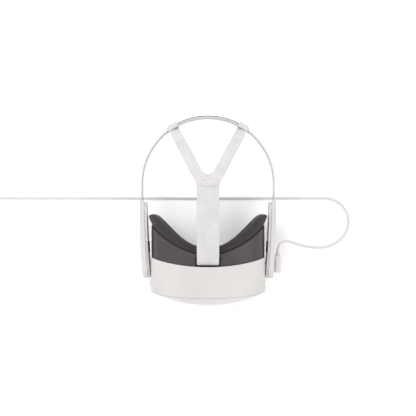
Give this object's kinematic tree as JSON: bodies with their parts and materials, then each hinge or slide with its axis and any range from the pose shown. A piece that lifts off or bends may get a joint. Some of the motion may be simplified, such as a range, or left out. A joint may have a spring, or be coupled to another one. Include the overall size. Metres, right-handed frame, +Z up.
{
  "type": "vr headset",
  "caption": "Standalone VR headset with lenses on a spacing mechanism, foam face cushion, pivoting arms, elastic head band, forked top strap and a plugged-in charging lead.",
  "frame": {"origin": "centre of the headset's bounding box in plan, at its base, measured without the charging lead", "axes": "+X the wearer's left, +Y towards the back of the head, +Z up; the front cover faces -Y"},
  "size_m": [0.6167, 0.2797, 0.122],
  "materials": {
    "shell_white": "satin",
    "cover_white": "satin",
    "window_black": "gloss",
    "camera_glass": "gloss",
    "inner_metal": "brushed",
    "board": "satin",
    "inner_black": "matte",
    "cell": "satin",
    "screen": "gloss",
    "lens": "clear",
    "pinion": "satin",
    "steel": "brushed",
    "interface": "satin",
    "foam": "matte",
    "webbing": "fine weave",
    "band_dark": "knit",
    "pad_rubber": "matte",
    "light": "lit",
    "lead_white": "satin",
    "contact": "bright",
    "tie": "matte"
  },
  "bodies": {
    "headset": {"main_housing": "shell_white", "front_cover": "cover_white", "sensor_windows": "window_black", "tracking_cameras": "camera_glass", "color_cameras": "camera_glass", "infrared_lamps": "camera_glass", "chassis_plate": "inner_metal", "chassis_screws": "steel", "mainboard": "board", "processor_shield": "inner_metal", "fan_housing": "inner_black", "battery": "cell", "display_panel": "screen", "display_frame": "inner_metal", "lens_bezel": "inner_black", "proximity_sensor": "window_black", "lens_rails": "steel", "pinion_pin": "steel", "interface_frame": "interface", "face_foam": "foam", "strap_anchor": "pad_rubber", "top_strap": "webbing", "volume_pin": "steel", "status_light": "light", "hub_left": "shell_white", "hub_right": "shell_white", "charging_socket": "steel", "lead_plug": "lead_white", "plug_contacts": "contact", "lead_relief": "lead_white", "lead_cable": "lead_white", "lead_coil": "lead_white", "coil_tie": "tie", "lead_tail": "lead_white", "charger_plug": "lead_white"},
    "head_strap": {"arm_left": "shell_white", "arm_right": "shell_white", "speaker_left": "inner_black", "speaker_right": "inner_black", "arm_pads": "pad_rubber", "strap_clip_left": "cover_white", "strap_clip_right": "cover_white", "elastic_band": "webbing", "rear_pad": "band_dark", "strap_yoke": "webbing", "yoke_patch": "webbing"},
    "slider_left_body": {"slider_left": "cover_white"},
    "slider_right_body": {"slider_right": "cover_white"},
    "lens_left_body": {"lens_barrel_left": "inner_black", "lens_left": "lens"},
    "lens_right_body": {"lens_barrel_right": "inner_black", "lens_right": "lens"},
    "pinion_body": {"spacing_pinion": "pinion"},
    "fan_body": {"fan_rotor": "inner_black"},
    "power_key": {"power_button": "shell_white"},
    "volume_key": {"volume_rocker": "shell_white"},
    "action_key": {"action_button": "shell_white"}
  },
  "joints": [
    {"name": "strap_tilt", "type": "hinge", "parent": "headset", "child": "head_strap", "pos_m": [0, -0.085, 0.055], "axis": [1, 0, 0], "range_deg": [-9, 12]},
    {"name": "slider_left_turn", "type": "hinge", "parent": "head_strap", "child": "slider_left_body", "pos_m": [0, 0.04, 0.055], "axis": [0, 0, 1], "range_deg": [-5, 5]},
    {"name": "slider_right_turn", "type": "hinge", "parent": "head_strap", "child": "slider_right_body", "pos_m": [0, 0.04, 0.055], "axis": [0, 0, 1], "range_deg": [-5, 5]},
    {"name": "lens_left_slide", "type": "slide", "parent": "headset", "child": "lens_left_body", "axis": [1, 0, 0], "range_m": [-0.0025, 0.0025]},
    {"name": "lens_right_slide", "type": "slide", "parent": "headset", "child": "lens_right_body", "axis": [1, 0, 0], "range_m": [-0.0025, 0.0025]},
    {"name": "pinion_turn", "type": "hinge", "parent": "headset", "child": "pinion_body", "pos_m": [0, -0.0925, 0.067], "axis": [0, 1, 0], "range_deg": [-36, 36]},
    {"name": "fan_turn", "type": "hinge", "parent": "headset", "child": "fan_body", "pos_m": [0, -0.126, 0.062], "axis": [0, 1, 0], "continuous": true},
    {"name": "power_press", "type": "slide", "parent": "headset", "child": "power_key", "axis": [1, 0, 0], "range_m": [0, 0.0006], "stiffness_N_per_m": 500, "springref_m": -0.0006},
    {"name": "volume_rock", "type": "hinge", "parent": "headset", "child": "volume_key", "pos_m": [-0.0415, -0.1, 0.0054], "axis": [0, 1, 0], "range_deg": [-1.6, 1.6], "stiffness_Nm_per_rad": 0.06},
    {"name": "action_press", "type": "slide", "parent": "headset", "child": "action_key", "axis": [0, 0, 1], "range_m": [0, 0.0006], "stiffness_N_per_m": 500, "springref_m": -0.0006}
  ],
  "couplings": [
    {"joint": "lens_right_slide", "follows": "lens_left_slide", "ratio": -1},
    {"joint": "pinion_turn", "follows": "lens_left_slide", "rad_per_m": 250}
  ]
}
